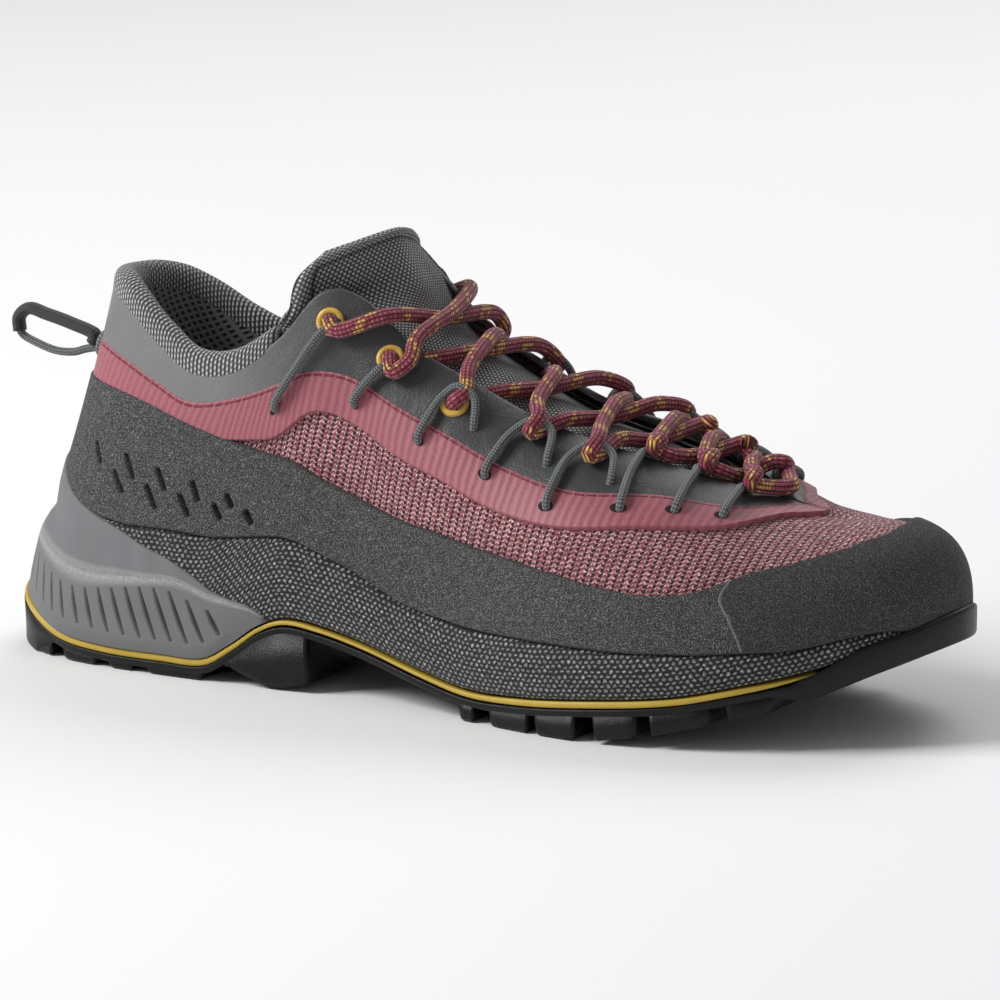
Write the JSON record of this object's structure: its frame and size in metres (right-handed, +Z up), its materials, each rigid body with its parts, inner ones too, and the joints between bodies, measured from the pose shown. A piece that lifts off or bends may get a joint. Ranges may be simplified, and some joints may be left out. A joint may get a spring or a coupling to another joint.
{
  "type": "approach shoe",
  "caption": "Low-cut lace-up approach shoe for the right foot, knitted upper, wrap-around rand, foam heel cup and lugged rubber sole, standing empty on its sole.",
  "frame": {"origin": "on the floor, at the middle of the heel's flat tread", "axes": "+X from heel to toe, +Y to the medial side (the wearer's left), +Z up"},
  "size_m": [0.2806, 0.0983, 0.1181],
  "materials": {
    "outsole_rubber": "matt moulded black rubber",
    "stripe_rubber": "smooth mustard rubber sheet",
    "eva_foam": "moulded foam",
    "insole_fabric": "fabric-covered foam",
    "rose_knit": "knitted, with pale and dark yarn",
    "wrap_mesh": "spacer mesh",
    "rand_microfibre": "rubberised microfibre, fine speckle",
    "rose_film": "ribbed film over knit",
    "grey_film": "smooth matt welded film",
    "cup_foam": "moulded foam, slotted",
    "lining_mesh": "padded mesh lining",
    "tongue_mesh": "padded mesh",
    "lace_braid": "round braid, flecked",
    "grey_cord": "fine round braid",
    "eyelet_enamel": "mustard enamel"
  },
  "bodies": {
    "root": {"outsole": "outsole_rubber", "sole_stripe": "stripe_rubber", "midsole": "eva_foam", "insole": "insole_fabric", "upper": "rose_knit", "sole_wrap": "wrap_mesh", "rand": "rand_microfibre", "toe_cap": "rand_microfibre", "side_band": "rose_film", "eyestay": "grey_film", "heel_cup": "cup_foam", "collar_lining": "lining_mesh", "tongue": "tongue_mesh", "lace": "lace_braid", "eyelet_lateral_1": "eyelet_enamel", "eyelet_lateral_2": "eyelet_enamel", "eyelet_lateral_3": "eyelet_enamel", "eyelet_medial_1": "eyelet_enamel", "eyelet_medial_2": "eyelet_enamel", "eyelet_medial_3": "eyelet_enamel", "cord_lateral_1": "grey_cord", "cord_lateral_2": "grey_cord", "cord_lateral_3": "grey_cord", "cord_lateral_4": "grey_cord", "cord_lateral_5": "grey_cord", "cord_lateral_6": "grey_cord", "cord_lateral_7": "grey_cord", "cord_lateral_8": "grey_cord", "cord_medial_1": "grey_cord", "cord_medial_2": "grey_cord", "cord_medial_3": "grey_cord", "cord_medial_4": "grey_cord", "cord_medial_5": "grey_cord", "cord_medial_6": "grey_cord", "cord_medial_7": "grey_cord", "cord_medial_8": "grey_cord", "heel_pull_loop": "grey_cord"}
  },
  "joints": []
}
